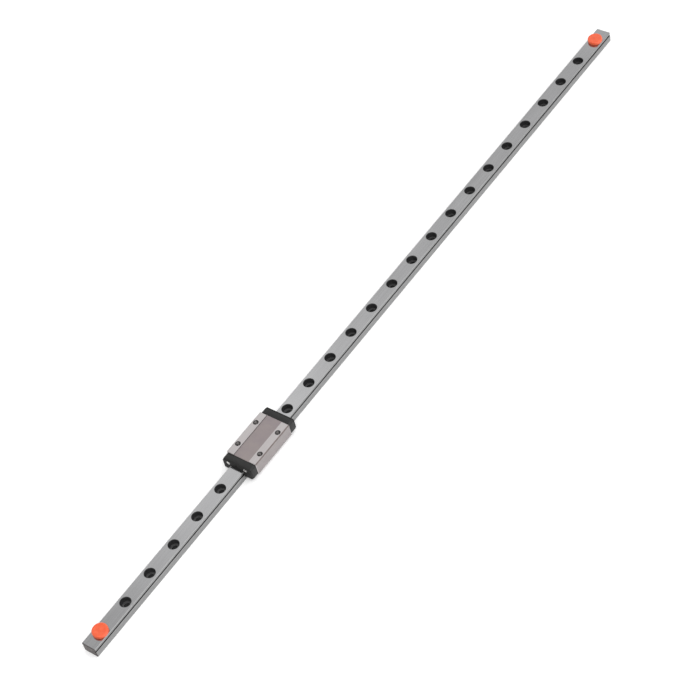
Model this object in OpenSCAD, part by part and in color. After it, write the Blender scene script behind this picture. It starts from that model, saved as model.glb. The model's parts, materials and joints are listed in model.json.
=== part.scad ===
// Miniature profile rail guide, size 9: a ground steel rail with counterbored
// screw holes, and a long recirculating-ball carriage that slides along it
// between two push-in stop plugs.
//
// Frame: +X along the rail, +Y across it, +Z up. The origin is the centre of the
// rail's bottom face. All sizes are in millimetres.

/* [Rail] */
// Length of the rail
rail_l = 500; // [300:20:1000]
// Width of the rail
rail_w = 9; // [8.6:0.1:9.4]
// Height of the rail
rail_h = 6.5; // [6.3:0.1:7]
// Chamfer along the rail's top and bottom edges
rail_chamfer = 0.3; // [0.1:0.1:0.5]
// Chamfer round the rail's two sawn ends
rail_end_chamfer = 0.3; // [0.1:0.1:0.8]

/* [Rail screw holes] */
// Distance from one screw hole to the next
hole_pitch = 20; // [15:5:40]
// Least distance from the rail's end to the centre of its first screw hole
hole_end_min = 7.5; // [6:0.5:10]
// Diameter of the hole for the screw's shank
shank_hole_d = 3.5; // [3.2:0.1:4]
// Diameter of the counterbore for the screw's head
head_hole_d = 6; // [5.6:0.1:6.2]
// Depth of the counterbore below the rail's top
head_hole_h = 3.5; // [3:0.1:4]
// Chamfer at the mouth of the counterbore
head_hole_chamfer = 0.25; // [0.05:0.05:0.3]

/* [Balls and raceways] */
// Diameter of one ball
ball_d = 1.588; // [1.4:0.05:1.65]
// Height of the ball rows above the rail's bottom
ball_z = 4.4; // [4.2:0.1:4.6]
// Depth that a ball sinks into the side of the rail
ball_sink = 0.5; // [0.4:0.05:0.6]
// Radius of a raceway's arcs as a share of the ball's diameter
race_conformity = 0.53; // [0.52:0.01:0.55]
// Running gap between a ball and its raceway
race_gap = 0.01; // [0.005:0.005:0.03]
// Least gap between neighbouring balls
ball_gap_min = 0.03; // [0.01:0.01:0.1]
// Distance from the rail's middle to the axis of a return tunnel
return_y = 7.5; // [7.3:0.1:7.7]
// Gap between a ball and the wall of its return tunnel
return_gap = 0.1; // [0.05:0.05:0.15]

/* [Retaining wires] */
// Diameter of a retaining wire
wire_d = 0.3; // [0.2:0.05:0.35]
// Gap between a retaining wire and the balls it holds
wire_gap = 0.06; // [0.03:0.01:0.08]
// Height of the relief slot that the wire runs in
relief_h = 0.8; // [0.6:0.1:0.9]
// Gap between the wire and the bottom of the relief slot
relief_gap = 0.08; // [0.05:0.01:0.12]
// Length of the wire's bent leg behind the end seal
wire_leg = 2.2; // [1.5:0.1:3]

/* [Carriage block] */
// Distance from the rail's left end to the middle of the carriage
carriage_position = 144.6; // [56:0.1:240]
// Length of the steel block
block_l = 29.9; // [28:0.1:40]
// Width of the steel block
block_w = 20; // [19.6:0.1:22]
// Height of the block's top above the rail's bottom
block_top = 10; // [9.8:0.1:11]
// Height of the block's underside above the rail's bottom
block_bottom = 2; // [1.6:0.1:2.4]
// Gap between the rail's sides and the block
side_gap = 0.5; // [0.4:0.05:0.6]
// Gap between the rail's top and the block
roof_gap = 0.5; // [0.4:0.05:0.6]
// Chamfer along the block's two top edges
block_top_chamfer = 0.55; // [0.2:0.05:0.8]
// Chamfer along the block's other edges
block_edge_chamfer = 0.25; // [0.1:0.05:0.4]
// Width of the sunk panel along the block's top
panel_w = 10.2; // [9:0.1:11]
// Depth of the sunk panel
panel_depth = 0.3; // [0.1:0.05:0.5]

/* [Carriage screw holes] */
// Distance between the tapped holes along the rail
tap_spacing_x = 16; // [10:0.5:18]
// Distance between the tapped holes across the rail
tap_spacing_y = 15; // [14.6:0.1:15.2]
// Diameter of the tapped hole's core
tap_d = 2.5; // [2.4:0.05:2.6]
// Depth of the tapped holes
tap_h = 3; // [2:0.1:3.2]
// Chamfer at the mouth of a tapped hole
tap_chamfer = 0.35; // [0.1:0.05:0.4]
// Angle of the drill's point at the bottom of the tapped holes
drill_point = 118; // [90:2:140]

/* [End caps] */
// Thickness of an end cap along the rail
cap_l = 4; // [3.6:0.1:6]
// How far an end cap stays inside the block's outline, at the sides
cap_inset_y = 0.3; // [0.1:0.05:0.5]
// How far an end cap stays below the block's top
cap_inset_top = 0.45; // [0.1:0.05:0.6]
// How far an end cap stays above the block's underside
cap_inset_bottom = 0.2; // [0:0.05:0.4]
// Chamfer on an end cap's upper corners
cap_corner = 1; // [0.5:0.1:1.5]
// Chamfer on an end cap's lower corners
cap_foot_corner = 0.5; // [0.2:0.1:1]
// Chamfer round the front of an end cap
cap_front_chamfer = 0.2; // [0.1:0.05:0.4]
// Gap between the rail and an end cap
cap_gap = 0.25; // [0.15:0.05:0.3]
// Gap between the rail's raceway and the tongue that lifts the balls out of it
tongue_gap = 0.12; // [0.08:0.02:0.16]
// Diameter of the oil hole through an end cap
oil_hole_d = 1.2; // [0.8:0.1:1.4]
// Distance from the block's top to the oil hole's axis
oil_hole_drop = 1.6; // [1.4:0.1:1.8]
// Width and depth of the oil channel from that hole to the ball turns
oil_channel = 0.5; // [0.3:0.1:0.6]

/* [End seals] */
// Thickness of an end seal, with its lip
seal_l = 1; // [0.8:0.1:1.5]
// Gap between the rail and the lip of an end seal
seal_gap = 0.08; // [0.05:0.01:0.15]
// How far an end seal stays inside the end cap's outline
seal_inset = 0.15; // [0.05:0.05:0.3]
// Chamfer round the front of an end seal
seal_chamfer = 0.3; // [0.1:0.05:0.5]
// How far the lip round the rail stands out from the end seal's plate
lip_proud = 0.15; // [0.05:0.05:0.3]
// Width of that lip
lip_w = 0.6; // [0.4:0.1:0.8]

/* [End cap screws] */
// Distance between the two screws of an end cap
cap_screw_spacing = 11.2; // [11:0.1:12]
// Distance from the block's top to the axis of a screw
cap_screw_drop = 2.2; // [2:0.1:2.4]
// Diameter of a screw's thread
cap_screw_d = 1.2; // [1:0.05:1.3]
// Length of a screw's thread inside the block
cap_screw_grip = 3; // [2:0.1:3.5]
// Diameter of a screw's head
cap_screw_head_d = 2.3; // [2:0.1:2.6]
// Height of a screw's head
cap_screw_head_h = 0.9; // [0.8:0.05:1]
// Height of the rim below the head's crown
cap_screw_rim_h = 0.5; // [0.3:0.05:0.6]
// Diameter of the head's crown
cap_screw_crown_d = 1.6; // [1.5:0.05:1.9]
// Width of the cross recess's arms
cap_screw_recess_w = 0.4; // [0.3:0.05:0.5]
// Length of the cross recess's arms
cap_screw_recess_l = 1.4; // [1:0.05:1.5]
// Depth of the cross recess
cap_screw_recess_h = 0.45; // [0.3:0.05:0.6]
// Gap round a screw's thread in its hole
cap_screw_gap = 0.02; // [0.01:0.01:0.05]
// Gap round a screw's head in the end seal
cap_screw_head_gap = 0.12; // [0.05:0.01:0.2]

/* [Stop plugs] */
// Diameter of a plug's head
plug_head_d = 8.8; // [8:0.1:10]
// Height of a plug's head
plug_head_h = 2.1; // [1.8:0.1:3.4]
// Radius round the top of a plug's head
plug_round = 0.7; // [0.3:0.1:1.2]
// Length of a plug's stem inside the counterbore
plug_stem_l = 3; // [2:0.1:3.2]
// Gap round a plug's stem
plug_stem_gap = 0.03; // [0.01:0.01:0.1]
// Chamfer at the foot of a plug's stem
plug_stem_chamfer = 0.4; // [0.1:0.1:0.8]

/* [Hidden] */
$fn = 48;

// A cut runs this far past the faces that it opens.
past = 1;

// Screw holes of the rail, centred along it.
hole_count = floor((rail_l - 2 * hole_end_min) / hole_pitch) + 1;
hole_last_x = (hole_count - 1) * hole_pitch / 2;

// Ball rows: the loaded row beside the rail, and the raceway's arcs.
ball_r = ball_d / 2;
ball_y = rail_w / 2 - ball_sink + ball_r;
race_r = race_conformity * ball_d;
race_shift = (race_r - ball_r - race_gap) * cos(45);
return_r = ball_r + return_gap;
turn_r = (return_y - ball_y) / 2;
turn_y = (return_y + ball_y) / 2;

// Balls of a circuit. Neighbours come closest in the turns, which sets how many there are.
circuit_l = 2 * block_l + 2 * PI * turn_r;
turn_step = 2 * asin((ball_d + ball_gap_min) / (2 * turn_r));
balls_per_row = floor(circuit_l / (turn_r * turn_step * PI / 180));

// Retaining wire: it runs between the balls and the bottom of the rail's relief slot.
wire_y = ball_y - ball_r - wire_gap - wire_d / 2;
relief_y = wire_y - wire_d / 2 - relief_gap;
wire_bend_r = wire_d;
wire_leg_x = block_l / 2 + cap_l - wire_d / 2;

// Places along the carriage.
carriage_x = carriage_position - rail_l / 2;
channel_w = rail_w + 2 * side_gap;
channel_top = rail_h + roof_gap;
cap_screw_z = block_top - cap_screw_drop;
cap_screw_hole_r = cap_screw_d / 2 + cap_screw_gap;
oil_hole_z = block_top - oil_hole_drop;

// Outline of an end cap. The seal's is smaller by seal_inset all round.
cap_w = block_w - 2 * cap_inset_y;
cap_low = block_bottom + cap_inset_bottom;
cap_high = block_top - cap_inset_top;

// The oil channel passes between the cap screws' holes and the cap's top.
oil_channel_z = (cap_screw_z + cap_screw_hole_r + cap_high) / 2;

// Colours.
ground_steel = [0.66, 0.66, 0.67];
block_steel = [0.72, 0.70, 0.70];
bright_steel = [0.82, 0.82, 0.84];
black_plastic = [0.13, 0.13, 0.13];
black_rubber = [0.10, 0.10, 0.10];
orange_plastic = [1.00, 0.38, 0.22];

// ---------------------------------------------------------------- helpers

// Lays a profile drawn as (y, z) along X, centred on x = 0.
module along_x(length) {
    rotate([90, 0, 90])
        translate([0, 0, -length / 2])
            linear_extrude(length) children();
}

// Keeps the children and adds their mirror image across the rail.
module both_sides() {
    children();
    mirror([1, 0]) children();
}

// Rectangle centred on the second axis, from low to high along it. Its two lower
// corners are cut by the chamfer foot, and its two upper ones by the chamfer crown.
module cut_rectangle(width, low, high, foot, crown) {
    half = width / 2;
    polygon([
        [-half + foot, low], [half - foot, low],
        [half, low + foot], [half, high - crown],
        [half - crown, high], [-half + crown, high],
        [-half, high - crown], [-half, low + foot]
    ]);
}

// Gothic arch of a raceway, as the lens between two arcs. Its contact points
// face the rail (side = -1) or the block (side = 1). shrink makes it smaller.
module gothic_arch(side, shrink = 0) {
    intersection_for (up = [-1, 1])
        translate([ball_y - side * race_shift, ball_z + up * race_shift])
            circle(r = race_r - shrink);
}

// Chamfers both ends of its children, a bar along X centred on x = 0, all round.
module chamfer_ends(length, width, low, high, chamfer) {
    intersection() {
        children();
        linear_extrude(high) cut_rectangle(length, -width / 2, width / 2, chamfer, chamfer);
        translate([0, width / 2, 0])
            rotate([90, 0, 0]) linear_extrude(width) cut_rectangle(length, low, high, chamfer, chamfer);
    }
}

// ---------------------------------------------------------------- rail

module rail_section() {
    difference() {
        cut_rectangle(rail_w, 0, rail_h, rail_chamfer, rail_chamfer);
        both_sides() {
            gothic_arch(-1);
            translate([relief_y, ball_z - relief_h / 2]) square([ball_y - relief_y, relief_h]);
        }
    }
}

// Counterbored hole for a cap screw, entered from the rail's top.
module rail_hole() {
    shank_r = shank_hole_d / 2;
    head_r = head_hole_d / 2;
    mouth_r = head_r + head_hole_chamfer;
    rotate_extrude()
        polygon([
            [0, -past], [shank_r, -past], [shank_r, rail_h - head_hole_h], [head_r, rail_h - head_hole_h],
            [head_r, rail_h - head_hole_chamfer], [mouth_r, rail_h], [mouth_r, rail_h + past], [0, rail_h + past]
        ]);
}

module rail() {
    color(ground_steel)
        difference() {
            chamfer_ends(rail_l, rail_w, 0, rail_h, rail_end_chamfer)
                along_x(rail_l) rail_section();
            for (i = [0 : hole_count - 1])
                translate([i * hole_pitch - hole_last_x, 0, 0]) rail_hole();
        }
}

// ---------------------------------------------------------------- stop plugs

// Mushroom-shaped plug pushed into the counterbore of the rail's last hole.
module stop_plug(end) {
    head_r = plug_head_d / 2;
    stem_r = head_hole_d / 2 - plug_stem_gap;
    color(orange_plastic)
        translate([end * hole_last_x, 0, rail_h])
            rotate_extrude() {
                square([head_r - plug_round, plug_head_h]);
                square([head_r, plug_head_h - plug_round]);
                intersection() {
                    translate([head_r - plug_round, plug_head_h - plug_round]) circle(r = plug_round);
                    square([head_r, plug_head_h]);
                }
                polygon([
                    [0, -plug_stem_l], [stem_r - plug_stem_chamfer, -plug_stem_l],
                    [stem_r, -plug_stem_l + plug_stem_chamfer], [stem_r, plug_head_h / 2], [0, plug_head_h / 2]
                ]);
            }
}

// ---------------------------------------------------------------- carriage block

module block_section() {
    difference() {
        cut_rectangle(block_w, block_bottom, block_top, block_edge_chamfer, block_top_chamfer);
        translate([-channel_w / 2, block_bottom - past])
            square([channel_w, channel_top - block_bottom + past]);
        translate([-panel_w / 2, block_top - panel_depth]) square([panel_w, panel_depth + past]);
        both_sides() {
            gothic_arch(1);
            translate([return_y, ball_z]) circle(r = return_r);
        }
    }
}

// Tapped hole in the block's top: its core, the drill's point below and a chamfered mouth.
module tapped_hole() {
    core_r = tap_d / 2;
    mouth_r = core_r + tap_chamfer;
    foot = block_top - tap_h;
    rotate_extrude()
        polygon([
            [0, foot - core_r / tan(drill_point / 2)], [core_r, foot],
            [core_r, block_top - tap_chamfer], [mouth_r, block_top],
            [mouth_r, block_top + past], [0, block_top + past]
        ]);
}

module carriage_block() {
    color(block_steel)
        translate([carriage_x, 0, 0])
            difference() {
                chamfer_ends(block_l, block_w, block_bottom, block_top, block_edge_chamfer)
                    along_x(block_l) block_section();
                for (x = [-1, 1], y = [-1, 1])
                    translate([x * tap_spacing_x / 2, y * tap_spacing_y / 2, 0]) tapped_hole();
                for (end = [-1, 1], y = [-1, 1])
                    translate([end * (block_l / 2 - cap_screw_grip), y * cap_screw_spacing / 2, cap_screw_z])
                        rotate([0, end * 90, 0])
                            cylinder(r = cap_screw_hole_r, h = cap_screw_grip + past);
            }
}

// ---------------------------------------------------------------- end caps

// Opening for the rail, with a tongue on each side that reaches into the raceway.
module rail_opening(gap, reach) {
    difference() {
        translate([-rail_w / 2 - gap, block_bottom - past])
            square([rail_w + 2 * gap, rail_h + gap - block_bottom + past]);
        both_sides() gothic_arch(-1, reach);
    }
}

// Plate shaped like an end cap, with its back at x = 0 and its front edge chamfered all round.
module cap_plate(thick, inset, chamfer) {
    w = cap_w - 2 * inset;
    low = cap_low + inset;
    high = cap_high - inset;
    chamfer_ends(2 * thick, w, low, high, chamfer)
        translate([thick / 2, 0, 0])
            along_x(thick) cut_rectangle(w, low, high, cap_foot_corner, cap_corner);
}

// Half ring that turns the balls round between the loaded row and the return tunnel.
module ball_turn() {
    translate([0, turn_y, ball_z])
        rotate([0, 0, -90])
            rotate_extrude(angle = 180)
                translate([turn_r, 0]) circle(r = return_r);
}

// Oil channel in the end cap's inner face, from the oil hole outwards and down to a ball turn.
module oil_channel_path() {
    half = oil_channel / 2;
    translate([0, oil_channel_z - half]) square([return_y + half, oil_channel]);
    translate([return_y - half, ball_z]) square([oil_channel, oil_channel_z - ball_z]);
}

// Slot behind the end seal that holds a retaining wire's bent leg.
module wire_slot() {
    translate([cap_l - wire_d - relief_gap, wire_y, ball_z - wire_d / 2 - relief_gap])
        cube([wire_d + relief_gap + past, wire_leg + relief_gap, wire_d + 2 * relief_gap]);
}

// End cap of the right end, with the block's end face at x = 0.
module end_cap_body() {
    difference() {
        cap_plate(cap_l, 0, cap_front_chamfer);
        along_x(2 * (cap_l + past)) {
            rail_opening(cap_gap, tongue_gap);
            translate([0, oil_hole_z]) circle(d = oil_hole_d);
            both_sides() translate([cap_screw_spacing / 2, cap_screw_z]) circle(r = cap_screw_hole_r);
        }
        along_x(2 * oil_channel) both_sides() oil_channel_path();
        for (side = [0, 1])
            mirror([0, side, 0]) {
                ball_turn();
                wire_slot();
            }
    }
}

// Puts a piece drawn for the right end onto the left (end = -1) or right (end = 1) end of the block.
module at_end(end) {
    translate([carriage_x, 0, 0])
        mirror([end < 0 ? 1 : 0, 0, 0])
            translate([block_l / 2, 0, 0]) children();
}

module end_cap(end) {
    color(black_plastic) at_end(end) end_cap_body();
}

// ---------------------------------------------------------------- end seals

// Lip round the rail, that stands out in front of the seal's plate.
module seal_lip() {
    translate([seal_l / 2, 0, 0])
        along_x(seal_l)
            cut_rectangle(rail_w + 2 * (seal_gap + lip_w), cap_low + seal_inset, rail_h + seal_gap + lip_w,
                          lip_w / 2, lip_w / 2);
}

module end_seal(end) {
    color(black_rubber)
        at_end(end)
            translate([cap_l, 0, 0])
                difference() {
                    union() {
                        cap_plate(seal_l - lip_proud, seal_inset, seal_chamfer);
                        seal_lip();
                    }
                    along_x(2 * (seal_l + past)) {
                        rail_opening(seal_gap, tongue_gap);
                        translate([0, oil_hole_z]) circle(d = oil_hole_d);
                        both_sides()
                            translate([cap_screw_spacing / 2, cap_screw_z])
                                circle(r = cap_screw_head_d / 2 + cap_screw_head_gap);
                    }
                }
}

// ---------------------------------------------------------------- end cap screws

// Pan-head screw with a cross recess. Its head sits on the end cap, inside the seal's hole.
module cap_screw(end, side) {
    color(bright_steel)
        at_end(end)
            translate([cap_l, side * cap_screw_spacing / 2, cap_screw_z])
                rotate([0, 90, 0])
                    difference() {
                        union() {
                            cylinder(d = cap_screw_head_d, h = cap_screw_rim_h);
                            translate([0, 0, cap_screw_rim_h])
                                cylinder(d1 = cap_screw_head_d, d2 = cap_screw_crown_d,
                                         h = cap_screw_head_h - cap_screw_rim_h);
                            translate([0, 0, cap_screw_gap - cap_l - cap_screw_grip])
                                cylinder(d = cap_screw_d, h = cap_l + cap_screw_grip);
                        }
                        for (turn = [0, 90])
                            rotate([0, 0, turn])
                                translate([-cap_screw_recess_l / 2, -cap_screw_recess_w / 2,
                                           cap_screw_head_h - cap_screw_recess_h])
                                    cube([cap_screw_recess_l, cap_screw_recess_w, cap_screw_recess_h + past]);
                    }
}

// ---------------------------------------------------------------- balls

// Point of a ball circuit at distance s along it, seen from above: the loaded run,
// the right turn, the return run and the left turn.
function circuit_point(s) =
    let (run = block_l, arc = PI * turn_r)
    s < run ? [-run / 2 + s, ball_y]
    : s < run + arc ?
        let (a = (s - run) / turn_r * 180 / PI)
        [run / 2 + turn_r * sin(a), turn_y - turn_r * cos(a)]
    : s < 2 * run + arc ? [run / 2 - (s - run - arc), return_y]
    :   let (a = (s - 2 * run - arc) / turn_r * 180 / PI)
        [-run / 2 - turn_r * sin(a), turn_y + turn_r * cos(a)];

module ball_row(side) {
    color(bright_steel)
        translate([carriage_x, 0, ball_z])
            mirror([0, side > 0 ? 0 : 1, 0])
                for (i = [0 : balls_per_row - 1])
                    translate(circuit_point(i * circuit_l / balls_per_row)) sphere(d = ball_d);
}

// ---------------------------------------------------------------- retaining wires

// Straight wire between the balls and the rail, with its ends bent outwards
// into the slots behind the end seals.
module retaining_wire(side) {
    bend_x = wire_leg_x - wire_bend_r;
    color(bright_steel)
        translate([carriage_x, 0, ball_z])
            mirror([0, side > 0 ? 0 : 1, 0]) {
                translate([0, wire_y, 0]) rotate([0, 90, 0]) cylinder(d = wire_d, h = 2 * bend_x, center = true);
                for (end = [0, 1])
                    mirror([end, 0, 0]) {
                        translate([bend_x, wire_y + wire_bend_r, 0])
                            rotate([0, 0, -90])
                                rotate_extrude(angle = 90)
                                    translate([wire_bend_r, 0]) circle(d = wire_d);
                        translate([wire_leg_x, wire_y + wire_bend_r, 0])
                            rotate([-90, 0, 0]) cylinder(d = wire_d, h = wire_leg - wire_bend_r);
                    }
            }
}

// ---------------------------------------------------------------- the part

rail();
stop_plug(-1);  // stop_plug_left
stop_plug(1);  // stop_plug_right
carriage_block();
end_cap(-1);  // end_cap_left
end_cap(1);  // end_cap_right
end_seal(-1);  // end_seal_left
end_seal(1);  // end_seal_right
cap_screw(-1, -1);  // cap_screw_left_front
cap_screw(-1, 1);  // cap_screw_left_back
cap_screw(1, -1);  // cap_screw_right_front
cap_screw(1, 1);  // cap_screw_right_back
ball_row(-1);  // ball_row_front
ball_row(1);  // ball_row_back
retaining_wire(-1);  // retaining_wire_front
retaining_wire(1);  // retaining_wire_back
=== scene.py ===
"""Looks of a miniature profile rail guide: a ground steel rail with counterbored holes and
ball raceways, a long carriage with black end caps, and two orange stop plugs."""

import json
import math

import bpy
from mathutils import Matrix, Vector


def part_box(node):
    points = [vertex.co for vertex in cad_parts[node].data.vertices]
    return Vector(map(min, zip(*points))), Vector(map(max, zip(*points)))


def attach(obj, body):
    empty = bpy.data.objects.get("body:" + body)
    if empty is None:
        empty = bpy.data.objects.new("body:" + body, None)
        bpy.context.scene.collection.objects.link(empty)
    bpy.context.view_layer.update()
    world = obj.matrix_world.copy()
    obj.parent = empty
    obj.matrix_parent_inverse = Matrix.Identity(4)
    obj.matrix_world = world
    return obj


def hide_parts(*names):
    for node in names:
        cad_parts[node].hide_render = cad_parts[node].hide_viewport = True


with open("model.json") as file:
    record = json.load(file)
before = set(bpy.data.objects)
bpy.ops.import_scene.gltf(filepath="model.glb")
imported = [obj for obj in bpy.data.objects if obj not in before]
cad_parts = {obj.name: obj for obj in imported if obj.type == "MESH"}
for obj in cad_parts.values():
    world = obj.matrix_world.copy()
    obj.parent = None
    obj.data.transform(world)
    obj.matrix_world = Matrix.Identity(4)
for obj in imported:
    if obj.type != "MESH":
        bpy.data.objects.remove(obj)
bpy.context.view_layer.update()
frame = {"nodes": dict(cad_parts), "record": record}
MM = 0.001

# Sizes that the looks need and the boxes of the nodes don't give.
HOLE_PITCH = 20 * MM
COUNTERBORE_R = 3 * MM
HOLE_MOUTH_R = COUNTERBORE_R + 0.25 * MM
RAIL_CHAMFER = 0.3 * MM
RACEWAY_Z = 4.4 * MM
RACEWAY_HALF_HEIGHT = 0.8 * MM
RELIEF_SLOT_Y = 3.995 * MM
PANEL_HALF_WIDTH = 5.1 * MM
PANEL_DEPTH = 0.3 * MM
LAND_CHAMFER = 0.55 * MM
THREAD_PITCH = 0.5 * MM
THREAD_MAJOR_R = 1.5 * MM
THREAD_MINOR_R = 1.25 * MM
THREAD_DEPTH = 2.9 * MM
TAP_MOUTH_R = 1.62 * MM
TAP_MOUTH_DEPTH = 0.5 * MM

# Two places that are closer than this count as one.
TINY = 0.02 * MM
# A face whose normal's share along an axis is more than this looks that way.
FACING = 0.9


# ---------------------------------------------------------------- camera

def place_camera():
    """A long lens above the near end, looking down along the rail."""
    place = Vector((-0.52780, -0.55289, 0.83366))
    forward = Vector((0.44894, 0.49799, -0.74193)).normalized()
    right = Vector((0.57386, -0.79713, -0.18781)).normalized()
    up = right.cross(forward).normalized()
    turn = Matrix((right, up, -forward)).transposed()
    data = bpy.data.cameras.new("camera")
    data.lens = 107.33
    data.sensor_width = 36
    data.clip_start = 0.01
    camera = bpy.data.objects.new("camera", data)
    camera.matrix_world = Matrix.Translation(place) @ turn.to_4x4()
    bpy.context.scene.collection.objects.link(camera)
    bpy.context.scene.camera = camera


place_camera()


# ---------------------------------------------------------------- shader helpers

def linear(hex_code):
    """sRGB hex to the linear colour that a shader's socket takes."""
    channels = [int(hex_code[i:i + 2], 16) / 255 for i in (1, 3, 5)]
    return [c / 12.92 if c <= 0.04045 else ((c + 0.055) / 1.055) ** 2.4 for c in channels] + [1]


def feed(tree, node, **inputs):
    """Gives a node's inputs a value, or a link from another node's output. Names are the
    sockets' own with _ for a space, and _ with a number is a socket's place."""
    for name, value in inputs.items():
        place = int(name[1:]) if name[1:].isdigit() else name.replace("_", " ")
        socket = node.inputs[place]
        if isinstance(value, bpy.types.NodeSocket):
            tree.links.new(value, socket)
        else:
            socket.default_value = value


def add(tree, kind, settings=(), **inputs):
    """Adds a node with its settings and its inputs' values and links."""
    node = tree.nodes.new(kind)
    for name, value in dict(settings).items():
        setattr(node, name, value)
    feed(tree, node, **inputs)
    return node


def start_material(name, **sockets):
    """A material whose one shader has these values on its own sockets."""
    material = bpy.data.materials.new(name)
    material.use_nodes = True
    tree = material.node_tree
    shader = tree.nodes["Principled BSDF"]
    feed(tree, shader, **sockets)
    return material, tree, shader, add(tree, "ShaderNodeTexCoord").outputs["Object"]


def per(size, stretch=(1, 1, 1)):
    """Mapping scale that makes noise about this size, and longer by stretch on each axis."""
    return [1 / (size * times) for times in stretch]


# ---------------------------------------------------------------- materials
# The size of every noise is set by its mapping.
NOISE = {"Scale": 1.0, "Detail": 3.0, "Roughness": 0.6}
SOFT_NOISE = {"Scale": 1.0, "Detail": 2.0, "Roughness": 0.6}
# Noise keeps mostly inside this span, so each pattern is spread over it.
NOISE_SPAN = {"From_Min": 0.3, "From_Max": 0.7}


def ground_bearing_steel():
    """Hardened steel, surface-ground along its length: fine straight streaks that pull
    the reflection out along the rail, and faint cloudy bands from the wheel."""
    material, tree, shader, place = start_material("ground_bearing_steel", Metallic=1.0)
    # Grinding lines are about 0.05 mm apart. They are drawn 0.35 mm apart, so that they show.
    along = add(tree, "ShaderNodeMapping", Vector=place, Scale=per(0.35 * MM, (120, 1, 1)))
    lines = add(tree, "ShaderNodeTexNoise", Vector=along.outputs[0], **NOISE)
    wide = add(tree, "ShaderNodeMapping", Vector=place, Scale=per(14 * MM, (2, 1, 1)))
    clouds = add(tree, "ShaderNodeTexNoise", Vector=wide.outputs[0], **SOFT_NOISE)
    both = add(tree, "ShaderNodeMix", _0=0.35, _2=lines.outputs[0], _3=clouds.outputs[0])
    share = add(tree, "ShaderNodeMapRange", Value=both.outputs[0], **NOISE_SPAN)
    colour = add(tree, "ShaderNodeMix", {"data_type": "RGBA"}, _0=share.outputs[0],
                 _6=linear("#a0a0a1"), _7=linear("#b0b0b1"))
    rough = add(tree, "ShaderNodeMapRange", Value=lines.outputs[0], **NOISE_SPAN,
                To_Min=0.13, To_Max=0.21)
    scratches = add(tree, "ShaderNodeBump", Height=lines.outputs[0], Distance=0.004 * MM)
    feed(tree, shader, Base_Color=colour.outputs[2], Roughness=rough.outputs[0],
         Normal=scratches.outputs[0])
    return material


def form_ground_steel():
    """Flank and long edges of the rail, ground by the side of a form wheel: the same steel,
    painted a shade darker than the top as painted shade on the sides, with a coarser lay and a
    duller reflection of the table."""
    material, tree, shader, place = start_material("form_ground_steel", Metallic=1.0)
    # The lay is about 0.08 mm apart. It is drawn 0.4 mm apart, so that it shows.
    along = add(tree, "ShaderNodeMapping", Vector=place, Scale=per(0.4 * MM, (60, 1, 1)))
    lines = add(tree, "ShaderNodeTexNoise", Vector=along.outputs[0], **NOISE)
    share = add(tree, "ShaderNodeMapRange", Value=lines.outputs[0], **NOISE_SPAN)
    # Painted shade: this steel's colour is darker than the top's.
    colour = add(tree, "ShaderNodeMix", {"data_type": "RGBA"}, _0=share.outputs[0],
                 _6=linear("#8b8b8b"), _7=linear("#9b9b9b"))
    rough = add(tree, "ShaderNodeMapRange", Value=lines.outputs[0], **NOISE_SPAN,
                To_Min=0.28, To_Max=0.4)
    scratches = add(tree, "ShaderNodeBump", Height=lines.outputs[0], Distance=0.005 * MM)
    feed(tree, shader, Base_Color=colour.outputs[2], Roughness=rough.outputs[0],
         Normal=scratches.outputs[0])
    return material


def black_heat_scale():
    """Nearly black, dull and slightly blotchy: scale left by hardening where no wheel reaches, as
    in the counterbores, where it is also painted shade down the holes. On the block it is painted
    shade alone, in the walls of the sunk panel's step and the mouths of the tapped holes."""
    material, tree, shader, place = start_material("black_heat_scale", Metallic=0.0)
    even = add(tree, "ShaderNodeMapping", Vector=place, Scale=per(0.6 * MM))
    blotches = add(tree, "ShaderNodeTexNoise", Vector=even.outputs[0], **NOISE)
    share = add(tree, "ShaderNodeMapRange", Value=blotches.outputs[0], **NOISE_SPAN)
    colour = add(tree, "ShaderNodeMix", {"data_type": "RGBA"}, _0=share.outputs[0],
                 _6=linear("#171718"), _7=linear("#343435"))
    rough = add(tree, "ShaderNodeMapRange", Value=blotches.outputs[0], **NOISE_SPAN,
                To_Min=0.45, To_Max=0.7)
    crust = add(tree, "ShaderNodeBump", Height=blotches.outputs[0], Distance=0.01 * MM)
    feed(tree, shader, Base_Color=colour.outputs[2], Roughness=rough.outputs[0],
         Normal=crust.outputs[0])
    return material


def counterbored_seat_steel():
    """Seat of a rail screw's head, turned by the counterbore's end teeth: a dim, slightly mottled
    grey ring down each hole."""
    material, tree, shader, place = start_material("counterbored_seat_steel", Metallic=1.0)
    even = add(tree, "ShaderNodeMapping", Vector=place, Scale=per(0.3 * MM))
    marks = add(tree, "ShaderNodeTexNoise", Vector=even.outputs[0], **NOISE)
    share = add(tree, "ShaderNodeMapRange", Value=marks.outputs[0], **NOISE_SPAN)
    colour = add(tree, "ShaderNodeMix", {"data_type": "RGBA"}, _0=share.outputs[0],
                 _6=linear("#7d7d7e"), _7=linear("#979797"))
    rough = add(tree, "ShaderNodeMapRange", Value=marks.outputs[0], **NOISE_SPAN,
                To_Min=0.4, To_Max=0.55)
    tool = add(tree, "ShaderNodeBump", Height=marks.outputs[0], Distance=0.008 * MM)
    feed(tree, shader, Base_Color=colour.outputs[2], Roughness=rough.outputs[0],
         Normal=tool.outputs[0])
    return material


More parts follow.
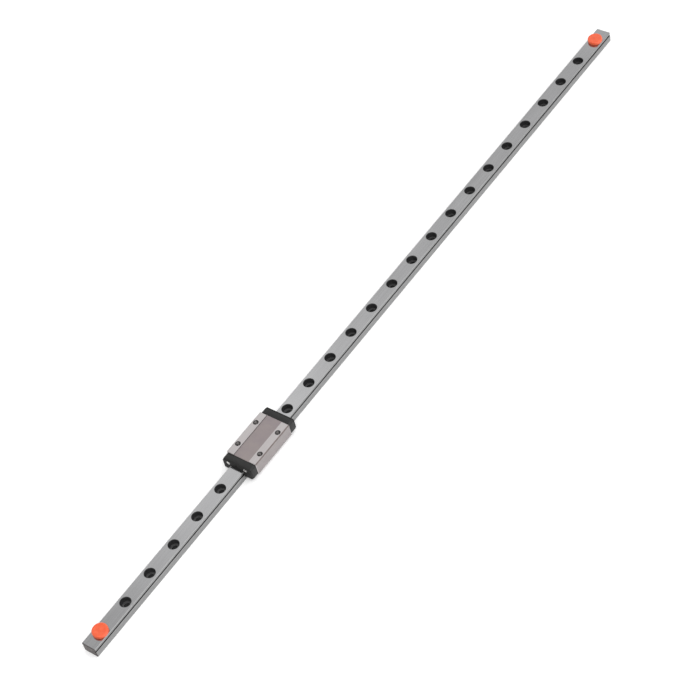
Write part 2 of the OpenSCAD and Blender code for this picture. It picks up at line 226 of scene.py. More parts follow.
def abrasive_cut_steel():
    """End face cut off by an abrasive wheel: dark burnt patches across fine arcs of the
    wheel, so it looks mottled beside the ground faces."""
    material, tree, shader, place = start_material("abrasive_cut_steel", Metallic=1.0)
    patchy = add(tree, "ShaderNodeMapping", Vector=place, Scale=per(1.6 * MM, (1, 1, 0.6)))
    burns = add(tree, "ShaderNodeTexNoise", Vector=patchy.outputs[0], **NOISE)
    across = add(tree, "ShaderNodeMapping", Vector=place, Scale=per(0.25 * MM, (1, 12, 1)))
    arcs = add(tree, "ShaderNodeTexNoise", Vector=across.outputs[0], **NOISE)
    both = add(tree, "ShaderNodeMix", _0=0.3, _2=burns.outputs[0], _3=arcs.outputs[0])
    share = add(tree, "ShaderNodeMapRange", Value=both.outputs[0], **NOISE_SPAN)
    colour = add(tree, "ShaderNodeMix", {"data_type": "RGBA"}, _0=share.outputs[0],
                 _6=linear("#322f30"), _7=linear("#7a7473"))
    rough = add(tree, "ShaderNodeMapRange", Value=arcs.outputs[0], **NOISE_SPAN,
                To_Min=0.4, To_Max=0.6)
    score = add(tree, "ShaderNodeBump", Height=arcs.outputs[0], Distance=0.01 * MM)
    feed(tree, shader, Base_Color=colour.outputs[2], Roughness=rough.outputs[0],
         Normal=score.outputs[0])
    return material


def greased_raceway_steel():
    """Ground raceway: bright steel beside its lips, and painted dark towards the relief slot
    along its middle, as painted shade deep in the groove."""
    material, tree, shader, place = start_material(
        "greased_raceway_steel", Metallic=1.0, Coat_Weight=0.4, Coat_Roughness=0.2)
    along = add(tree, "ShaderNodeMapping", Vector=place, Scale=per(0.8 * MM, (12, 1, 1)))
    smears = add(tree, "ShaderNodeTexNoise", Vector=along.outputs[0], **NOISE)
    share = add(tree, "ShaderNodeMapRange", Value=smears.outputs[0], **NOISE_SPAN)
    grease = add(tree, "ShaderNodeMix", {"data_type": "RGBA"}, _0=share.outputs[0],
                 _6=linear("#161617"), _7=linear("#29292a"))
    height = add(tree, "ShaderNodeSeparateXYZ", Vector=place)
    above = add(tree, "ShaderNodeMath", {"operation": "SUBTRACT"}, _0=height.outputs[2],
                _1=RACEWAY_Z)
    reach = add(tree, "ShaderNodeMath", {"operation": "ABSOLUTE"}, _0=above.outputs[0])
    wiped = add(tree, "ShaderNodeMapRange", Value=reach.outputs[0], From_Min=0.57 * MM,
                From_Max=0.74 * MM)
    # Painted shade: dark towards the middle of the groove, plain steel beside its lips.
    colour = add(tree, "ShaderNodeMix", {"data_type": "RGBA"}, _0=wiped.outputs[0],
                 _6=grease.outputs[2], _7=linear("#929292"))
    rough = add(tree, "ShaderNodeMapRange", Value=smears.outputs[0], **NOISE_SPAN,
                To_Min=0.22, To_Max=0.38)
    feed(tree, shader, Base_Color=colour.outputs[2], Roughness=rough.outputs[0])
    return material


def caked_slot_grease():
    """Painted shade in the narrow relief slots, where no light gets in: black and dull."""
    material, tree, shader, place = start_material("caked_slot_grease", Specular_IOR_Level=0.1)
    along = add(tree, "ShaderNodeMapping", Vector=place, Scale=per(0.5 * MM, (8, 1, 1)))
    lumps = add(tree, "ShaderNodeTexNoise", Vector=along.outputs[0], **NOISE)
    share = add(tree, "ShaderNodeMapRange", Value=lumps.outputs[0], **NOISE_SPAN)
    colour = add(tree, "ShaderNodeMix", {"data_type": "RGBA"}, _0=share.outputs[0],
                 _6=linear("#050505"), _7=linear("#101011"))
    rough = add(tree, "ShaderNodeMapRange", Value=lumps.outputs[0], **NOISE_SPAN,
                To_Min=0.6, To_Max=0.8)
    feed(tree, shader, Base_Color=colour.outputs[2], Roughness=rough.outputs[0])
    return material


def ground_block_steel():
    """Stainless block, ground on its two lands: paler than the rail, with short lengthwise
    lines and a soft sheen."""
    material, tree, shader, place = start_material("ground_block_steel", Metallic=1.0)
    # The real lines are about 0.04 mm apart. They are drawn 0.3 mm apart, so that they show.
    along = add(tree, "ShaderNodeMapping", Vector=place, Scale=per(0.3 * MM, (60, 1, 1)))
    lines = add(tree, "ShaderNodeTexNoise", Vector=along.outputs[0], **NOISE)
    share = add(tree, "ShaderNodeMapRange", Value=lines.outputs[0], **NOISE_SPAN)
    colour = add(tree, "ShaderNodeMix", {"data_type": "RGBA"}, _0=share.outputs[0],
                 _6=linear("#bfbaba"), _7=linear("#cbc6c6"))
    rough = add(tree, "ShaderNodeMapRange", Value=lines.outputs[0], **NOISE_SPAN,
                To_Min=0.34, To_Max=0.46)
    scratches = add(tree, "ShaderNodeBump", Height=lines.outputs[0], Distance=0.004 * MM)
    feed(tree, shader, Base_Color=colour.outputs[2], Roughness=rough.outputs[0],
         Normal=scratches.outputs[0])
    return material


def milled_block_steel():
    """Side of the block, fine-milled before hardening: painted a shade darker than the lands as
    painted shade on the side, with a low sheen and faint cutter lines along it."""
    material, tree, shader, place = start_material("milled_block_steel", Metallic=1.0)
    # Feed lines are about 0.1 mm apart. They are drawn 0.5 mm apart, so that they show.
    along = add(tree, "ShaderNodeMapping", Vector=place, Scale=per(0.5 * MM, (40, 1, 1)))
    lines = add(tree, "ShaderNodeTexNoise", Vector=along.outputs[0], **NOISE)
    share = add(tree, "ShaderNodeMapRange", Value=lines.outputs[0], **NOISE_SPAN)
    colour = add(tree, "ShaderNodeMix", {"data_type": "RGBA"}, _0=share.outputs[0],
                 _6=linear("#999393"), _7=linear("#a6a0a0"))
    rough = add(tree, "ShaderNodeMapRange", Value=lines.outputs[0], **NOISE_SPAN,
                To_Min=0.38, To_Max=0.5)
    ridges = add(tree, "ShaderNodeBump", Height=lines.outputs[0], Distance=0.006 * MM)
    feed(tree, shader, Base_Color=colour.outputs[2], Roughness=rough.outputs[0],
         Normal=ridges.outputs[0])
    return material


def unground_edge_steel():
    """Chamfers of the block that no wheel touched: dull brown-grey lines beside the lands."""
    material, tree, shader, place = start_material("unground_edge_steel", Metallic=0.9)
    along = add(tree, "ShaderNodeMapping", Vector=place, Scale=per(1.2 * MM, (4, 1, 1)))
    stains = add(tree, "ShaderNodeTexNoise", Vector=along.outputs[0], **NOISE)
    share = add(tree, "ShaderNodeMapRange", Value=stains.outputs[0], **NOISE_SPAN)
    colour = add(tree, "ShaderNodeMix", {"data_type": "RGBA"}, _0=share.outputs[0],
                 _6=linear("#6c6462"), _7=linear("#857c79"))
    rough = add(tree, "ShaderNodeMapRange", Value=stains.outputs[0], **NOISE_SPAN,
                To_Min=0.45, To_Max=0.6)
    feed(tree, shader, Base_Color=colour.outputs[2], Roughness=rough.outputs[0])
    return material


def etched_block_steel():
    """Milled and pickled floor of the sunk panel: matt, brownish grey, with no direction
    in its reflection."""
    material, tree, shader, place = start_material("etched_block_steel", Metallic=0.85)
    fine = add(tree, "ShaderNodeMapping", Vector=place, Scale=per(0.25 * MM))
    pits = add(tree, "ShaderNodeTexNoise", Vector=fine.outputs[0], **NOISE)
    wide = add(tree, "ShaderNodeMapping", Vector=place, Scale=per(7 * MM))
    clouds = add(tree, "ShaderNodeTexNoise", Vector=wide.outputs[0], **SOFT_NOISE)
    both = add(tree, "ShaderNodeMix", _0=0.4, _2=clouds.outputs[0], _3=pits.outputs[0])
    share = add(tree, "ShaderNodeMapRange", Value=both.outputs[0], **NOISE_SPAN)
    colour = add(tree, "ShaderNodeMix", {"data_type": "RGBA"}, _0=share.outputs[0],
                 _6=linear("#9b9194"), _7=linear("#a59b99"))
    rough = add(tree, "ShaderNodeMapRange", Value=pits.outputs[0], **NOISE_SPAN,
                To_Min=0.5, To_Max=0.62)
    etch = add(tree, "ShaderNodeBump", Height=pits.outputs[0], Distance=0.006 * MM)
    feed(tree, shader, Base_Color=colour.outputs[2], Roughness=rough.outputs[0],
         Normal=etch.outputs[0])
    return material


def tapped_thread_steel():
    """Wall of a tapped hole: cut steel, painted dark grey as painted shade down the hole."""
    material, tree, shader, place = start_material("tapped_thread_steel", Metallic=1.0)
    even = add(tree, "ShaderNodeMapping", Vector=place, Scale=per(0.5 * MM))
    film = add(tree, "ShaderNodeTexNoise", Vector=even.outputs[0], **NOISE)
    share = add(tree, "ShaderNodeMapRange", Value=film.outputs[0], **NOISE_SPAN)
    colour = add(tree, "ShaderNodeMix", {"data_type": "RGBA"}, _0=share.outputs[0],
                 _6=linear("#555251"), _7=linear("#6c6968"))
    rough = add(tree, "ShaderNodeMapRange", Value=film.outputs[0], **NOISE_SPAN,
                To_Min=0.3, To_Max=0.45)
    feed(tree, shader, Base_Color=colour.outputs[2], Roughness=rough.outputs[0])
    return material


def moulded_acetal():
    """Black acetal of the end caps, moulded in a spark-eroded tool: charcoal with a fine
    pebbled grain that breaks up a low, wide sheen."""
    material, tree, shader, place = start_material("moulded_acetal", IOR=1.48)
    fine = add(tree, "ShaderNodeMapping", Vector=place, Scale=per(0.12 * MM))
    pebbles = add(tree, "ShaderNodeTexNoise", Vector=fine.outputs[0], **NOISE)
    wide = add(tree, "ShaderNodeMapping", Vector=place, Scale=per(5 * MM))
    flow = add(tree, "ShaderNodeTexNoise", Vector=wide.outputs[0], **SOFT_NOISE)
    share = add(tree, "ShaderNodeMapRange", Value=flow.outputs[0], **NOISE_SPAN)
    colour = add(tree, "ShaderNodeMix", {"data_type": "RGBA"}, _0=share.outputs[0],
                 _6=linear("#121212"), _7=linear("#1a1a19"))
    rough = add(tree, "ShaderNodeMapRange", Value=pebbles.outputs[0], **NOISE_SPAN,
                To_Min=0.42, To_Max=0.6)
    grain = add(tree, "ShaderNodeBump", Height=pebbles.outputs[0], Distance=0.012 * MM)
    feed(tree, shader, Base_Color=colour.outputs[2], Roughness=rough.outputs[0],
         Normal=grain.outputs[0])
    return material


def moulded_nitrile():
    """Black nitrile rubber of the end seals: duller than the caps and faintly bloomed."""
    material, tree, shader, place = start_material("moulded_nitrile", IOR=1.52,
                                                   Specular_IOR_Level=0.2)
    wide = add(tree, "ShaderNodeMapping", Vector=place, Scale=per(1.5 * MM))
    bloom = add(tree, "ShaderNodeTexNoise", Vector=wide.outputs[0], **NOISE)
    fine = add(tree, "ShaderNodeMapping", Vector=place, Scale=per(0.1 * MM))
    pores = add(tree, "ShaderNodeTexNoise", Vector=fine.outputs[0], **NOISE)
    share = add(tree, "ShaderNodeMapRange", Value=bloom.outputs[0], **NOISE_SPAN)
    colour = add(tree, "ShaderNodeMix", {"data_type": "RGBA"}, _0=share.outputs[0],
                 _6=linear("#1e1e1e"), _7=linear("#282827"))
    rough = add(tree, "ShaderNodeMapRange", Value=bloom.outputs[0], **NOISE_SPAN,
                To_Min=0.55, To_Max=0.72)
    grain = add(tree, "ShaderNodeBump", Height=pores.outputs[0], Distance=0.008 * MM)
    feed(tree, shader, Base_Color=colour.outputs[2], Roughness=rough.outputs[0],
         Normal=grain.outputs[0])
    return material


def plated_screw_steel():
    """Nickel-plated screw: bright, with a satin of slight waviness from heading."""
    material, tree, shader, place = start_material("plated_screw_steel", Metallic=1.0)
    even = add(tree, "ShaderNodeMapping", Vector=place, Scale=per(0.4 * MM))
    waves = add(tree, "ShaderNodeTexNoise", Vector=even.outputs[0], **SOFT_NOISE)
    share = add(tree, "ShaderNodeMapRange", Value=waves.outputs[0], **NOISE_SPAN)
    colour = add(tree, "ShaderNodeMix", {"data_type": "RGBA"}, _0=share.outputs[0],
                 _6=linear("#cbcac7"), _7=linear("#e2e1df"))
    rough = add(tree, "ShaderNodeMapRange", Value=waves.outputs[0], **NOISE_SPAN,
                To_Min=0.28, To_Max=0.4)
    feed(tree, shader, Base_Color=colour.outputs[2], Roughness=rough.outputs[0])
    return material


def lapped_ball_steel():
    """Lapped chrome-steel balls: mirror-like under a thin film of grease."""
    material, tree, shader, place = start_material(
        "lapped_ball_steel", Metallic=1.0, Coat_Weight=0.25, Coat_Roughness=0.3)
    even = add(tree, "ShaderNodeMapping", Vector=place, Scale=per(0.8 * MM))
    film = add(tree, "ShaderNodeTexNoise", Vector=even.outputs[0], **SOFT_NOISE)
    share = add(tree, "ShaderNodeMapRange", Value=film.outputs[0], **NOISE_SPAN)
    colour = add(tree, "ShaderNodeMix", {"data_type": "RGBA"}, _0=share.outputs[0],
                 _6=linear("#cfcfd0"), _7=linear("#e4e4e5"))
    rough = add(tree, "ShaderNodeMapRange", Value=film.outputs[0], **NOISE_SPAN,
                To_Min=0.05, To_Max=0.14)
    feed(tree, shader, Base_Color=colour.outputs[2], Roughness=rough.outputs[0])
    return material


def drawn_spring_wire():
    """Stainless spring wire: satin, with drawing lines along it."""
    material, tree, shader, place = start_material("drawn_spring_wire", Metallic=1.0)
    along = add(tree, "ShaderNodeMapping", Vector=place, Scale=per(0.06 * MM, (60, 1, 1)))
    lines = add(tree, "ShaderNodeTexNoise", Vector=along.outputs[0], **NOISE)
    share = add(tree, "ShaderNodeMapRange", Value=lines.outputs[0], **NOISE_SPAN)
    colour = add(tree, "ShaderNodeMix", {"data_type": "RGBA"}, _0=share.outputs[0],
                 _6=linear("#b9b8b5"), _7=linear("#d2d1ce"))
    rough = add(tree, "ShaderNodeMapRange", Value=lines.outputs[0], **NOISE_SPAN,
                To_Min=0.22, To_Max=0.36)
    feed(tree, shader, Base_Color=colour.outputs[2], Roughness=rough.outputs[0])
    return material


def moulded_polyethylene():
    """Orange low-density polyethylene of the plugs: waxy, slightly translucent, with a
    soft highlight and faint flow clouds from moulding."""
    material, tree, shader, place = start_material(
        "moulded_polyethylene", IOR=1.51, Subsurface_Weight=0.12, Subsurface_Scale=1.2 * MM,
        Subsurface_Radius=(1.0, 0.35, 0.15))
    wide = add(tree, "ShaderNodeMapping", Vector=place, Scale=per(3 * MM))
    flow = add(tree, "ShaderNodeTexNoise", Vector=wide.outputs[0], **SOFT_NOISE)
    fine = add(tree, "ShaderNodeMapping", Vector=place, Scale=per(0.2 * MM))
    skin = add(tree, "ShaderNodeTexNoise", Vector=fine.outputs[0], **NOISE)
    share = add(tree, "ShaderNodeMapRange", Value=flow.outputs[0], **NOISE_SPAN)
    colour = add(tree, "ShaderNodeMix", {"data_type": "RGBA"}, _0=share.outputs[0],
                 _6=linear("#e75930"), _7=linear("#ee673f"))
    rough = add(tree, "ShaderNodeMapRange", Value=flow.outputs[0], **NOISE_SPAN,
                To_Min=0.38, To_Max=0.5)
    peel = add(tree, "ShaderNodeBump", Height=skin.outputs[0], Distance=0.01 * MM)
    feed(tree, shader, Base_Color=colour.outputs[2], Roughness=rough.outputs[0],
         Normal=peel.outputs[0])
    return material


def opal_acrylic_table():
    """White opal acrylic table lit from below: matt white, so that shadows on it are faint."""
    material, tree, shader, place = start_material(
        "opal_acrylic_table", Roughness=0.9, IOR=1.49, Specular_IOR_Level=0.1,
        Emission_Color=(1, 1, 1, 1), Emission_Strength=0.15)
    even = add(tree, "ShaderNodeMapping", Vector=place, Scale=per(3 * MM))
    cloud = add(tree, "ShaderNodeTexNoise", Vector=even.outputs[0], **NOISE)
    share = add(tree, "ShaderNodeMapRange", Value=cloud.outputs[0], **NOISE_SPAN)
    colour = add(tree, "ShaderNodeMix", {"data_type": "RGBA"}, _0=share.outputs[0],
                 _6=linear("#fafafa"), _7=linear("#fdfdfd"))
    feed(tree, shader, Base_Color=colour.outputs[2])
    return material


GROUND = ground_bearing_steel()
FLANK = form_ground_steel()
SCALE = black_heat_scale()
SEAT = counterbored_seat_steel()
CUT_OFF = abrasive_cut_steel()
RACEWAY = greased_raceway_steel()
GREASE = caked_slot_grease()
BLOCK = ground_block_steel()
MILLED = milled_block_steel()
EDGE = unground_edge_steel()
ETCHED = etched_block_steel()
THREAD = tapped_thread_steel()
ACETAL = moulded_acetal()
NITRILE = moulded_nitrile()
PLATED = plated_screw_steel()
BALL = lapped_ball_steel()
WIRE = drawn_spring_wire()
ORANGE = moulded_polyethylene()


# ---------------------------------------------------------------- modelling helpers

def only(piece):
    """Selects this piece alone and makes it active."""
    if bpy.context.object and bpy.context.object.mode != "OBJECT":
        bpy.ops.object.mode_set(mode="OBJECT")
    bpy.ops.object.select_all(action="DESELECT")
    piece.select_set(True)
    bpy.context.view_layer.objects.active = piece


def pick(piece, test, mode="FACE"):
    """Enters edit mode with only the faces or edges selected whose middle and normal pass."""
    only(piece)
    bpy.ops.object.mode_set(mode="EDIT")
    bpy.ops.mesh.select_mode(type=mode)
    bpy.ops.mesh.select_all(action="DESELECT")
    bpy.ops.object.mode_set(mode="OBJECT")
    mesh = piece.data
    if mode == "FACE":
        for face in mesh.polygons:
            face.select = test(face.center, face.normal)
    else:
        for edge in mesh.edges:
            a, b = (mesh.vertices[i].co for i in edge.vertices)
            edge.select = test((a + b) / 2, (b - a).normalized())
    bpy.ops.object.mode_set(mode="EDIT")


def done():
    bpy.ops.object.mode_set(mode="OBJECT")


def apply_modifier(piece, kind, **settings):
    only(piece)
    modifier = piece.modifiers.new(kind.lower(), kind)
    for name, value in settings.items():
        setattr(modifier, name, value)
    bpy.ops.object.modifier_apply(modifier=modifier.name)


def smooth(piece, degrees=32):
    only(piece)
    bpy.ops.object.shade_smooth_by_angle(angle=math.radians(degrees))


def dress(piece, *materials):
    piece.data.materials.clear()
    for material in materials:
        piece.data.materials.append(material)


def paint(piece, material, test):
    """Gives this material, which the piece has, to the faces whose middle and normal pass."""
    index = piece.data.materials.find(material.name)
    for face in piece.data.polygons:
        if test(face.center, face.normal):
            face.material_index = index


def hand_over(piece, body, slot, *nodes):
    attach(piece, body)
    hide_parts(*nodes)


def merged_copy(node, name):
    """A copy of a CAD node whose loose triangles share their corners."""
    only(frame["nodes"][node])
    piece = frame["nodes"][node].copy()
    piece.data = frame["nodes"][node].data.copy()
    piece.name = piece.data.name = name
    piece.parent = None
    for key in list(piece.keys()):
        del piece[key]
    bpy.context.scene.collection.objects.link(piece)
    only(piece)
    bpy.ops.object.mode_set(mode="EDIT")
    bpy.ops.mesh.customdata_custom_splitnormals_clear()
    bpy.ops.mesh.select_all(action="SELECT")
    bpy.ops.mesh.remove_doubles(threshold=0.0005 * MM)
    done()
    return piece


def middle(node):
    low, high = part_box(node)
    return (low + high) / 2


# ---------------------------------------------------------------- rail

def make_rail():
    low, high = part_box("rail")
    piece = merged_copy("rail", "rail_ground")
    dress(piece, GROUND, SCALE, CUT_OFF, RACEWAY, FLANK, SEAT, GREASE)
    first_hole = middle("stop_plug_left").x

    def in_hole(point):
        step = round((point.x - first_hole) / HOLE_PITCH)
        return math.hypot(point.x - first_hole - step * HOLE_PITCH, point.y) < HOLE_MOUTH_R

    def in_groove(point, normal):
        return (abs(normal.x) < 0.5 and HOLE_MOUTH_R < abs(point.y) < high.y - TINY
                and abs(point.z - RACEWAY_Z) < RACEWAY_HALF_HEIGHT)

    # Flanks and long chamfers: the darker flank steel, as painted shade on the sides.
    paint(piece, FLANK, lambda c, n: abs(n.y) > 0.5 and abs(c.y) > high.y - RAIL_CHAMFER - TINY)
    # Counterbore walls: nearly black scale, which is also painted shade down the holes.
    paint(piece, SCALE, lambda c, n: in_hole(c) and low.z + TINY < c.z < high.z - TINY)
    # The seat of a screw's head is the only upward face this deep.
    paint(piece, SEAT, lambda c, n: n.z > FACING and low.z + 1 * MM < c.z < high.z - 1 * MM)
    # Raceways: steel with painted shade, dark towards the groove's middle.
    paint(piece, RACEWAY, in_groove)
    # Relief slots: nearly black, as painted shade.
    paint(piece, GREASE, lambda c, n: in_groove(c, n) and abs(c.y) < RELIEF_SLOT_Y)
    paint(piece, CUT_OFF, lambda c, n: abs(n.x) > 0.5 and abs(c.x) > high.x - RAIL_CHAMFER - TINY)
    smooth(piece)
    hand_over(piece, "rail", "ground_steel", "rail")


# ---------------------------------------------------------------- stop plugs

def make_plug():
    """Mushroom plug: stem and head from one cylinder, with a rounded rim, a shallow dish and
    a gate mark."""
    low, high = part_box("stop_plug_left")
    rail_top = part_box("rail")[1].z
    centre = (low + high) / 2
    head_r = (high.x - low.x) / 2
    stem_r = COUNTERBORE_R - 0.03 * MM
    rim_round = 0.7 * MM
    under_round = 0.12 * MM
    point = 0.4 * MM
    # The top's rings from its rim inwards, each with its width and its rise.
    rings = ((1.1 * MM, 0), (0.5 * MM, -0.12 * MM), (1.4 * MM, 0), (0.12 * MM, 0.1 * MM))
    bpy.ops.object.select_all(action="DESELECT")
    bpy.ops.mesh.primitive_cylinder_add(
        vertices=72, radius=head_r, depth=high.z - rail_top,
        location=(centre.x, centre.y, (high.z + rail_top) / 2))
    plug = bpy.context.object
    plug.name = plug.data.name = "stop_plug_left_moulded"
    bpy.ops.object.transform_apply(location=True, rotation=True, scale=True)
    # Round the rim of the head, more above than below.
    pick(plug, lambda m, d: m.z > high.z - TINY and abs(d.z) < 0.1, "EDGE")
    bpy.ops.mesh.bevel(offset=rim_round, segments=8, profile=0.5)
    done()
    pick(plug, lambda m, d: m.z < rail_top + TINY and abs(d.z) < 0.1, "EDGE")
    bpy.ops.mesh.bevel(offset=under_round, segments=2, profile=0.5)
    done()
    # The stem grows out of the head's underside and tapers at its foot.
    pick(plug, lambda c, n: n.z < -0.99)
    bpy.ops.mesh.inset(thickness=head_r - under_round - stem_r)
    for length in (rail_top - low.z - point, point):
        bpy.ops.mesh.extrude_region_move(TRANSFORM_OT_translate={"value": (0, 0, -length)})
    shrink = (stem_r - point) / stem_r
    bpy.ops.transform.resize(value=(shrink, shrink, 1),
                             center_override=(centre.x, centre.y, low.z))
    done()
    # A shallow dish in the head's top, with the broken gate standing in its middle.
    pick(plug, lambda c, n: n.z > 0.9999)
    for width, rise in rings:
        bpy.ops.mesh.inset(thickness=width, depth=rise)
    done()
    smooth(plug, 40)
    dress(plug, ORANGE)
    return plug


def make_plugs():
    left = make_plug()
    right = left.copy()
    right.data = left.data.copy()
    right.name = right.data.name = "stop_plug_right_moulded"
    bpy.context.scene.collection.objects.link(right)
    only(right)
    right.location.x = middle("stop_plug_right").x - middle("stop_plug_left").x
    bpy.ops.object.transform_apply(location=True, rotation=True, scale=True)
    hand_over(left, "rail", "orange_plastic", "stop_plug_left")
    hand_over(right, "rail", "orange_plastic", "stop_plug_right")


# ---------------------------------------------------------------- carriage block

def thread_cutter(x, y, top):
    """Threaded rod that cuts one tapped hole's thread, from one tooth turned by a screw."""
    overlap = 0.004 * MM
    weld = 0.001 * MM
    flank_r = THREAD_MAJOR_R - 0.12 * MM
    bpy.ops.object.select_all(action="DESELECT")
    bpy.ops.mesh.primitive_plane_add(size=THREAD_PITCH, location=(THREAD_MINOR_R, 0, 0),
                                     rotation=(math.pi / 2, 0, 0))
    rod = bpy.context.object
    bpy.ops.object.transform_apply(location=True, rotation=True, scale=True)
    # Keep the outer edge only, split it in four and push its middle out to the tooth's crest.
    pick(rod, lambda m, d: m.x < THREAD_MINOR_R or abs(d.z) < 0.5, "EDGE")
    bpy.ops.mesh.delete(type="EDGE")
    bpy.ops.mesh.select_all(action="SELECT")
    bpy.ops.mesh.subdivide(number_cuts=3)
    done()
    tooth = {-2: THREAD_MINOR_R, -1: flank_r, 0: THREAD_MAJOR_R, 1: flank_r, 2: THREAD_MINOR_R}
    for vertex in rod.data.vertices:
        vertex.co.x = tooth[round(vertex.co.z / THREAD_PITCH * 4)] + overlap
    apply_modifier(rod, "SCREW", screw_offset=THREAD_PITCH, iterations=8, steps=24,
                   render_steps=24, use_merge_vertices=True, merge_threshold=weld,
                   use_smooth_shade=False)
    only(rod)
    bpy.ops.object.mode_set(mode="EDIT")
    bpy.ops.mesh.select_all(action="SELECT")
    bpy.ops.mesh.remove_doubles(threshold=weld)
    # Square the rod's two ends, just past a whole turn, and close them.
    foot = 1.013 * THREAD_PITCH
    for height, below in ((foot, True), (foot + THREAD_DEPTH, False)):
        bpy.ops.mesh.select_all(action="SELECT")
        bpy.ops.mesh.bisect(plane_co=(0, 0, height), plane_no=(0, 0, 1), clear_inner=below,
                            clear_outer=not below)
    bpy.ops.mesh.select_mode(type="EDGE")
    bpy.ops.mesh.select_all(action="DESELECT")
    bpy.ops.mesh.select_non_manifold()
    bpy.ops.mesh.fill_holes(sides=0)
    bpy.ops.mesh.select_all(action="SELECT")
    # Recalculated normals of so small a rod come out inwards.
    bpy.ops.mesh.normals_make_consistent(inside=False)
    bpy.ops.mesh.flip_normals()
    done()
    rod.location = (x, y, top - foot - THREAD_DEPTH)
    bpy.ops.object.transform_apply(location=True, rotation=True, scale=True)
    return rod


def make_block():
    low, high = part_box("carriage_block")
    centre = (low + high) / 2
    block = merged_copy("carriage_block", "carriage_block_ground")
    dress(block, BLOCK, ETCHED, THREAD, MILLED, EDGE, SCALE)
    mounts = {mount["name"]: mount for mount in frame["record"]["mounts"]}
    screws = mounts["carriage_screws"]["dims"]
    half_x = screws["spacing_x_mm"] / 2 * MM
    half_y = screws["spacing_y_mm"] / 2 * MM
    taps = [(centre.x + x, y) for x in (-half_x, half_x) for y in (-half_y, half_y)]
    thread_top = high.z - 0.05 * MM
    for x, y in taps:
        rod = thread_cutter(x, y, thread_top)
        apply_modifier(block, "BOOLEAN", operation="DIFFERENCE", object=rod, solver="EXACT")
        bpy.data.objects.remove(rod)

    def from_tap(point):
        return min(math.hypot(point.x - x, point.y - y) for x, y in taps)

    paint(block, BLOCK, lambda c, n: True)
    paint(block, ETCHED, lambda c, n: n.z > FACING and abs(c.y) < PANEL_HALF_WIDTH
          and abs(c.z - high.z + PANEL_DEPTH) < TINY)
    # Painted shadow: the walls of the sunk panel's step are nearly black, for its shadow line.
    paint(block, SCALE, lambda c, n: abs(n.y) > FACING
          and abs(abs(c.y) - PANEL_HALF_WIDTH) < TINY and c.z > high.z - PANEL_DEPTH)
    # Block sides: painted a shade darker than the lands, as painted shade.
    paint(block, MILLED, lambda c, n: abs(n.y) > 0.99 and abs(c.y) > high.y - TINY)
    paint(block, EDGE, lambda c, n: 0.5 < abs(n.y) < FACING and n.z > 0.5
          and abs(c.y) > high.y - LAND_CHAMFER - TINY)
    # Tapped holes' walls: dark grey, as painted shade down the holes.
    paint(block, THREAD, lambda c, n: from_tap(c) < THREAD_MAJOR_R + TINY and c.z < high.z - TINY)
    # Painted shade: the mouths of the tapped holes are nearly black, widening the dark of the
    # holes.
    paint(block, SCALE, lambda c, n: n.z > 0.2 and from_tap(c) < TAP_MOUTH_R
          and high.z - TAP_MOUTH_DEPTH < c.z < high.z - TINY)
    smooth(block)
    hand_over(block, "carriage", "block_steel", "carriage_block")


# ---------------------------------------------------------------- end caps and seals

def make_ends():
    """Caps and seals: the CAD shapes with every sharp edge rounded a little."""
    for end in ("left", "right"):
        for node, material, slot, rounding in (
                (f"end_cap_{end}", ACETAL, "black_plastic", 0.05 * MM),
                (f"end_seal_{end}", NITRILE, "black_rubber", 0.04 * MM)):
            piece = merged_copy(node, f"{node}_moulded")
            apply_modifier(piece, "BEVEL", width=rounding, segments=2, limit_method="ANGLE",
                           angle_limit=math.radians(40), use_clamp_overlap=True)
            dress(piece, material)
            smooth(piece, 40)
            hand_over(piece, "carriage", slot, node)


# ---------------------------------------------------------------- end cap screws

def make_screw():
    """Pan-head screw of the left front corner, with a domed head, a tapered cross recess
    and a plain shank, which the cap hides."""
    low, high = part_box("cap_screw_left_front")
    centre = (low + high) / 2
    head_r = (high.y - low.y) / 2
    head_h = 0.9 * MM
    shank_r = 0.6 * MM
    recess_span = 1.4 * MM
    recess_width = 0.42 * MM
    recess_depth = 0.5 * MM
    recess_taper = 0.55
    dome = 0.42 * MM
    bpy.ops.object.select_all(action="DESELECT")
    bpy.ops.mesh.primitive_cylinder_add(
        vertices=40, radius=head_r, depth=head_h,
        location=(low.x + head_h / 2, centre.y, centre.z), rotation=(0, -math.pi / 2, 0))
    screw = bpy.context.object
    screw.name = screw.data.name = "cap_screw_left_front_plated"
    bpy.ops.object.transform_apply(location=True, rotation=True, scale=True)
    pick(screw, lambda m, d: m.x < low.x + TINY and abs(d.x) < 0.1, "EDGE")
    bpy.ops.mesh.bevel(offset=dome, segments=5, profile=0.6)
    done()
    pick(screw, lambda c, n: n.x > 0.99)
    bpy.ops.mesh.inset(thickness=head_r - shank_r)
    bpy.ops.mesh.extrude_region_move(
        TRANSFORM_OT_translate={"value": (high.x - low.x - head_h, 0, 0)})
    done()
    # Cross recess: two arms that taper towards its bottom.
    for turn in (0, math.pi / 2):
        bpy.ops.object.select_all(action="DESELECT")
        bpy.ops.mesh.primitive_cube_add(
            size=1, location=(low.x, centre.y, centre.z), rotation=(turn, 0, 0),
            scale=(2 * recess_depth, recess_span, recess_width))
        arm = bpy.context.object
        bpy.ops.object.transform_apply(location=True, rotation=True, scale=True)
        pick(arm, lambda c, n: n.x > 0.99)
        bpy.ops.transform.resize(value=(1, recess_taper, recess_taper),
                                 center_override=(low.x, centre.y, centre.z))
        done()
        apply_modifier(screw, "BOOLEAN", operation="DIFFERENCE", object=arm, solver="EXACT")
        bpy.data.objects.remove(arm)
    dress(screw, PLATED)
    smooth(screw, 35)
    return screw


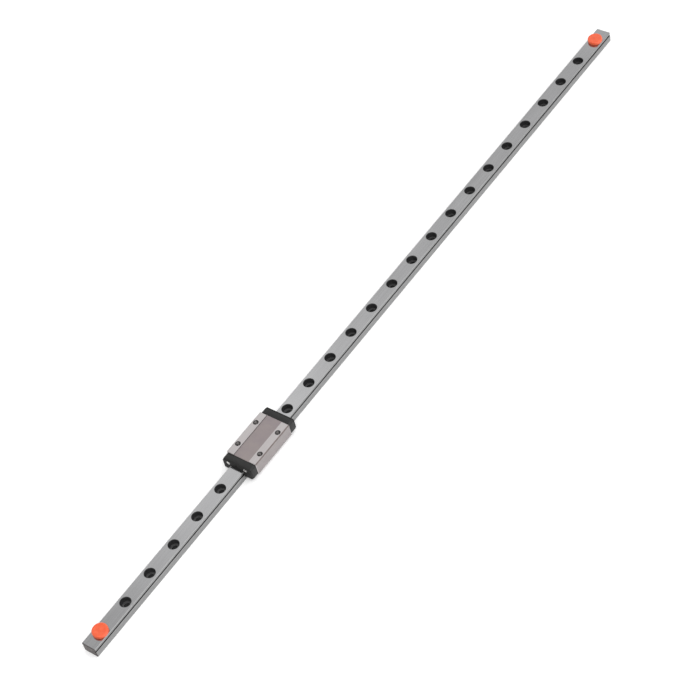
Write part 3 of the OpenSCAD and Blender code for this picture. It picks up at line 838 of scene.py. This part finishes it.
def make_screws():
    master = make_screw()
    home = middle("cap_screw_left_front")
    pieces = {"cap_screw_left_front": master}
    for end, side in (("left", "back"), ("right", "front"), ("right", "back")):
        node = f"cap_screw_{end}_{side}"
        piece = master.copy()
        piece.data = master.data.copy()
        piece.name = piece.data.name = f"{node}_plated"
        bpy.context.scene.collection.objects.link(piece)
        only(piece)
        place = Matrix.Translation(middle(node))
        if end == "right":
            place = place @ Matrix.Rotation(math.pi, 4, "Z")
        piece.data.transform(place @ Matrix.Translation(-home))
        pieces[node] = piece
    for node, piece in pieces.items():
        hand_over(piece, "carriage", "bright_steel", node)


# ---------------------------------------------------------------- balls and wires

def make_hidden_parts():
    for side in ("front", "back"):
        for node, material in ((f"ball_row_{side}", BALL), (f"retaining_wire_{side}", WIRE)):
            piece = merged_copy(node, f"{node}_finished")
            dress(piece, material)
            smooth(piece, 60)
            hand_over(piece, "carriage", "bearing_steel", node)


# ---------------------------------------------------------------- floor and light

def make_floor():
    gap = 0.01 * MM
    bpy.ops.object.select_all(action="DESELECT")
    bpy.ops.mesh.primitive_plane_add(size=6, location=(0, 0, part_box("rail")[0].z - gap))
    floor = bpy.context.object
    floor.name = floor.data.name = "studio_floor"
    bpy.ops.object.transform_apply(location=True, rotation=True, scale=True)
    dress(floor, opal_acrylic_table())


def area_light(name, location, size, power):
    """White square softbox that faces the middle of the rail."""
    data = bpy.data.lights.new(name, "AREA")
    data.shape = "SQUARE"
    data.size = size
    data.energy = power
    light = bpy.data.objects.new(name, data)
    light.location = location
    light.rotation_euler = (-Vector(location)).to_track_quat("-Z", "Y").to_euler()
    bpy.context.scene.collection.objects.link(light)


def light_studio():
    """White tent, darker behind the near end, with a brighter strip across it that the
    rail's top mirrors on both sides of the carriage."""
    world = bpy.data.worlds.new("studio_tent")
    world.use_nodes = True
    tree = world.node_tree
    direction = add(tree, "ShaderNodeTexCoord").outputs["Generated"]
    along = add(tree, "ShaderNodeSeparateXYZ", Vector=direction).outputs["X"]
    soft = {"interpolation_type": "SMOOTHSTEP"}
    rise = add(tree, "ShaderNodeMapRange", soft, Value=along, From_Min=0.24, From_Max=0.385,
               To_Min=0.64, To_Max=1.32)
    fall = add(tree, "ShaderNodeMapRange", soft, Value=along, From_Min=0.415, From_Max=0.48,
               To_Min=0.0, To_Max=0.42)
    both = add(tree, "ShaderNodeMath", {"operation": "SUBTRACT"}, _0=rise.outputs[0],
               _1=fall.outputs[0])
    feed(tree, tree.nodes["Background"], Color=(1, 1, 1, 1), Strength=both.outputs[0])
    bpy.context.scene.world = world
    area_light("softbox_over_camera", (-0.9, -1.0, 1.9), size=1.6, power=21)
    area_light("softbox_behind", (0.6, -1.3, 1.5), size=1.4, power=8)
    bpy.context.scene.view_settings.view_transform = "Standard"


make_rail()
make_plugs()
make_block()
make_ends()
make_screws()
make_hidden_parts()
make_floor()
light_studio()
